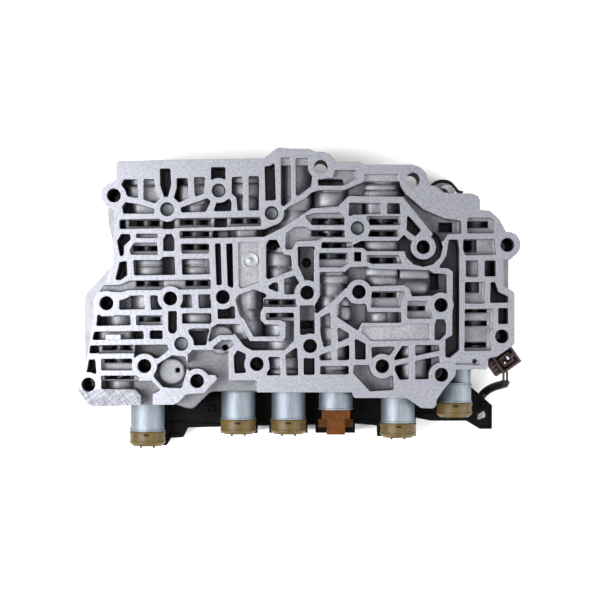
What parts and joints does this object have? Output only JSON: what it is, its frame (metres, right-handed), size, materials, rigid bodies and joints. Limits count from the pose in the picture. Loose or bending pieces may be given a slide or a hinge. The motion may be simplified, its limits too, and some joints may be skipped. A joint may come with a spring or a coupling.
{
  "type": "transmission valve body",
  "caption": "Flat cast aluminium hydraulic control block with a maze of open channels, sliding spool valves and a row of solenoids with tan caps on a black lead frame.",
  "frame": {"origin": "middle of the part on the surface it rests on, back side down", "axes": "+X along the longer edge, to the sensor plug; +Y away from the solenoids; +Z out of the case face"},
  "size_m": [0.2242, 0.1518, 0.052],
  "materials": {
    "cast_aluminium": "machined face, satin as cast cells",
    "rear_aluminium": "as cast",
    "plate_steel": "rolled sheet",
    "plug_aluminium": "turned",
    "keeper_steel": "sheared sheet",
    "seal_rubber": "moulded",
    "terminal_brass": "tinned",
    "frame_plastic": "moulded",
    "bolt_steel": "zinc plated",
    "ball_plastic": "ground",
    "plug_plastic": "moulded",
    "wire_plastic": "extruded",
    "sheath_plastic": "extruded",
    "spool_steel": "ground",
    "spring_steel": "drawn wire",
    "can_steel": "zinc plated, drawn",
    "cap_plastic": "moulded, glass filled",
    "brown_plastic": "moulded"
  },
  "bodies": {
    "body": {"main_casting": "cast_aluminium", "rear_casting": "rear_aluminium", "separator_plate": "plate_steel", "spring_1": "spring_steel", "spring_2": "spring_steel", "spring_3": "spring_steel", "spring_4": "spring_steel", "spring_5": "spring_steel", "spring_6": "spring_steel", "spring_7": "spring_steel", "spring_8": "spring_steel", "spring_9": "spring_steel", "spring_10": "spring_steel", "bore_plugs": "plug_aluminium", "plug_keepers": "keeper_steel", "plug_rings": "keeper_steel", "solenoid_1": "can_steel", "solenoid_2": "can_steel", "solenoid_3": "can_steel", "solenoid_4": "can_steel", "solenoid_5": "can_steel", "solenoid_6": "can_steel", "cap_1": "cap_plastic", "cap_2": "cap_plastic", "cap_3": "cap_plastic", "cap_4": "brown_plastic", "cap_5": "cap_plastic", "cap_6": "cap_plastic", "nose_seals": "seal_rubber", "solenoid_keepers": "keeper_steel", "solenoid_pins": "terminal_brass", "lead_frame": "frame_plastic", "frame_screws": "bolt_steel", "assembly_bolts": "bolt_steel", "check_balls": "ball_plastic", "sensor_plug": "plug_plastic", "sensor_wires": "wire_plastic", "cable_sheath": "sheath_plastic", "clip_cable": "sheath_plastic", "clip_screw": "bolt_steel"},
    "spool_1": {"spool_1": "spool_steel"},
    "spool_2": {"spool_2": "spool_steel"},
    "spool_3": {"spool_3": "spool_steel"},
    "spool_4": {"spool_4": "spool_steel"},
    "spool_5": {"spool_5": "spool_steel"},
    "spool_6": {"spool_6": "spool_steel"},
    "spool_7": {"spool_7": "spool_steel"},
    "spool_8": {"spool_8": "spool_steel"},
    "spool_9": {"spool_9": "spool_steel"},
    "spool_10": {"spool_10": "spool_steel"}
  },
  "joints": [
    {"name": "spool_1_slide", "type": "slide", "parent": "body", "child": "spool_1", "axis": [0, -1, 0], "range_m": [0, 0.004], "stiffness_N_per_m": 300, "springref_m": -0.006, "deforming": ["spring_1"]},
    {"name": "spool_2_slide", "type": "slide", "parent": "body", "child": "spool_2", "axis": [0, 1, 0], "range_m": [0, 0.004], "stiffness_N_per_m": 300, "springref_m": -0.006, "deforming": ["spring_2"]},
    {"name": "spool_3_slide", "type": "slide", "parent": "body", "child": "spool_3", "axis": [0, 1, 0], "range_m": [0, 0.004], "stiffness_N_per_m": 300, "springref_m": -0.006, "deforming": ["spring_3"]},
    {"name": "spool_4_slide", "type": "slide", "parent": "body", "child": "spool_4", "axis": [0, 1, 0], "range_m": [0, 0.004], "stiffness_N_per_m": 300, "springref_m": -0.006, "deforming": ["spring_4"]},
    {"name": "spool_5_slide", "type": "slide", "parent": "body", "child": "spool_5", "axis": [0, -1, 0], "range_m": [0, 0.004], "stiffness_N_per_m": 300, "springref_m": -0.006, "deforming": ["spring_5"]},
    {"name": "spool_6_slide", "type": "slide", "parent": "body", "child": "spool_6", "axis": [0, 1, 0], "range_m": [0, 0.004], "stiffness_N_per_m": 300, "springref_m": -0.006, "deforming": ["spring_6"]},
    {"name": "spool_7_slide", "type": "slide", "parent": "body", "child": "spool_7", "axis": [0, -1, 0], "range_m": [0, 0.004], "stiffness_N_per_m": 300, "springref_m": -0.006, "deforming": ["spring_7"]},
    {"name": "spool_8_slide", "type": "slide", "parent": "body", "child": "spool_8", "axis": [0, 1, 0], "range_m": [0, 0.004], "stiffness_N_per_m": 300, "springref_m": -0.006, "deforming": ["spring_8"]},
    {"name": "spool_9_slide", "type": "slide", "parent": "body", "child": "spool_9", "axis": [0, -1, 0], "range_m": [0, 0.004], "stiffness_N_per_m": 300, "springref_m": -0.006, "deforming": ["spring_9"]},
    {"name": "spool_10_slide", "type": "slide", "parent": "body", "child": "spool_10", "axis": [0, -1, 0], "range_m": [0, 0.004], "stiffness_N_per_m": 300, "springref_m": -0.006, "deforming": ["spring_10"]}
  ]
}
